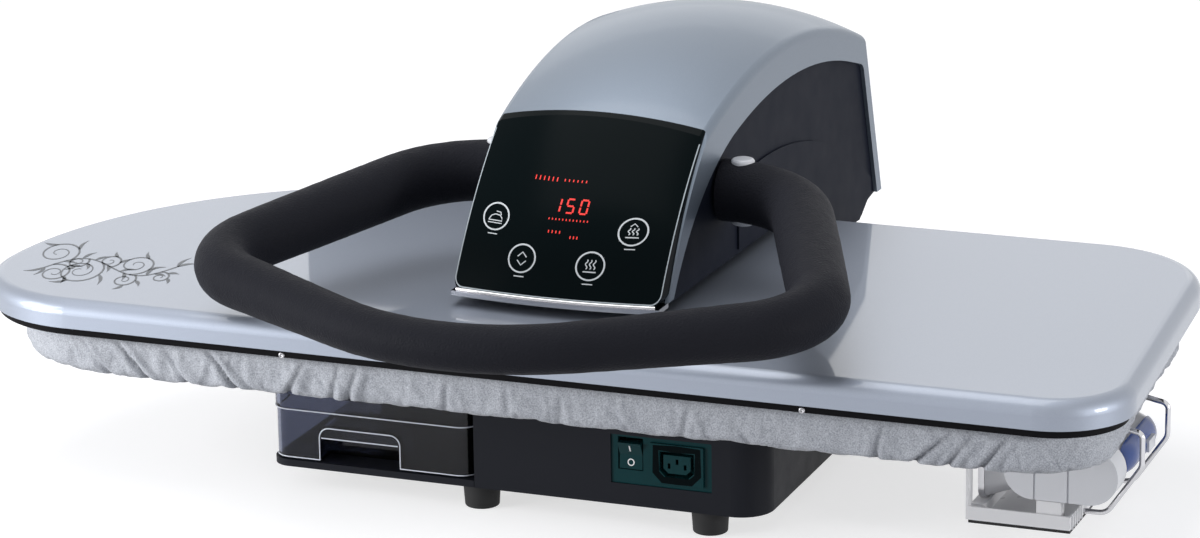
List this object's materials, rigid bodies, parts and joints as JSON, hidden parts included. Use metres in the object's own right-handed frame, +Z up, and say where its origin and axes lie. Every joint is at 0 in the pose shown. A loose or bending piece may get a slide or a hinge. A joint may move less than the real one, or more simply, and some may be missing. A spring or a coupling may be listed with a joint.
{
  "type": "steam ironing press",
  "caption": "Table-top steam press: a heated platen with a looped handle on a swing head closes on a padded bed; base with water tank, switch and hand iron.",
  "frame": {"origin": "on the table, under the middle of the whole press with its head closed", "axes": "+Z up, -Y towards the person who presses, +X to their right along the platen"},
  "size_m": [1.02, 0.8023, 0.3551],
  "materials": {
    "silver_paint": "glossy silver",
    "black_plastic": "fine grain",
    "gloss_black": "glossy",
    "bright_trim": "polished",
    "black_foam": "matte foam",
    "pad_cloth": "woven",
    "pad_filling": "open-cell foam",
    "steel": "plain",
    "cast_alloy": "machined",
    "bush_brass": "plain",
    "smoked_clear": "clear, smoked",
    "foot_rubber": "matte",
    "white_plastic": "satin",
    "grey_plastic": "satin",
    "blue_plastic": "satin",
    "circuit": "coated"
  },
  "bodies": {
    "base": {"base_housing": "black_plastic", "base_plate": "black_plastic", "bay_tray": "black_plastic", "feet": "foot_rubber", "water_dock": "black_plastic", "boiler": "steel", "water_pump": "black_plastic", "control_board": "circuit", "mains_gland": "black_plastic", "switch_plate": "gloss_black", "iron_socket": "black_plastic", "bed_board": "steel", "pad_foam": "pad_filling", "pad_cover": "pad_cloth", "hinge_towers": "steel", "hinge_shaft": "steel", "counterbalance_springs": "steel", "cradle_tray": "white_plastic", "cradle_strip": "foot_rubber", "cradle_wires": "bright_trim"},
    "head": {"swing_arm": "steel", "guide_bushes": "bush_brass", "hinge_bushes": "bush_brass", "hood": "silver_paint", "side_panel_left": "black_plastic", "side_panel_right": "black_plastic", "fascia": "gloss_black", "fascia_strip": "bright_trim", "display_board": "circuit", "head_pan": "black_plastic"},
    "handle": {"handle_shaft": "steel", "handle_crank": "steel", "handle_tube": "steel", "handle_grip": "black_foam", "handle_bolts": "grey_plastic"},
    "platen": {"platen_cover": "silver_paint", "insulating_band": "black_plastic", "sole_plate": "cast_alloy", "heating_element": "steel", "platen_yoke": "steel", "guide_posts": "steel"},
    "tank": {"water_tank": "smoked_clear", "tank_lid": "smoked_clear", "tank_valve": "grey_plastic"},
    "switch": {"rocker": "gloss_black"},
    "iron": {"iron_sole": "cast_alloy", "iron_body": "white_plastic", "iron_handle": "white_plastic", "iron_heel": "grey_plastic", "iron_grip": "blue_plastic", "iron_tank": "blue_plastic"},
    "iron_dial": {"iron_dial": "grey_plastic"},
    "steam_button": {"iron_button": "grey_plastic"}
  },
  "joints": [
    {"name": "head_swing", "type": "hinge", "parent": "base", "child": "head", "pos_m": [0.01, 0.30182, 0.135], "axis": [-1, 0, 0], "range_deg": [0, 45]},
    {"name": "handle_swing", "type": "hinge", "parent": "head", "child": "handle", "pos_m": [0.01, -0.00318, 0.244], "axis": [-1, 0, 0], "range_deg": [0, 25]},
    {"name": "platen_lift", "type": "slide", "parent": "head", "child": "platen", "axis": [0, 0, 1], "range_m": [0, 0.00695]},
    {"name": "tank_slide", "type": "slide", "parent": "base", "child": "tank", "axis": [0, -1, 0], "range_m": [0, 0.22]},
    {"name": "switch_rock", "type": "hinge", "parent": "base", "child": "switch", "pos_m": [0.087, -0.17968, 0.066], "axis": [-1, 0, 0], "range_deg": [0, 24]},
    {"name": "iron_out", "type": "slide", "parent": "base", "child": "iron", "axis": [0, -1, 0], "range_m": [0, 0.25]},
    {"name": "dial_turn", "type": "hinge", "parent": "iron", "child": "iron_dial", "pos_m": [0.407, -0.03818, 0.0675], "axis": [1, 0, 0], "range_deg": [-135, 135]},
    {"name": "steam_press", "type": "slide", "parent": "iron", "child": "steam_button", "axis": [-1, 0, 0], "range_m": [0, 0.003], "stiffness_N_per_m": 300}
  ],
  "couplings": [
    {"joint": "platen_lift", "follows": "handle_swing", "m_per_rad": 0.015873}
  ]
}
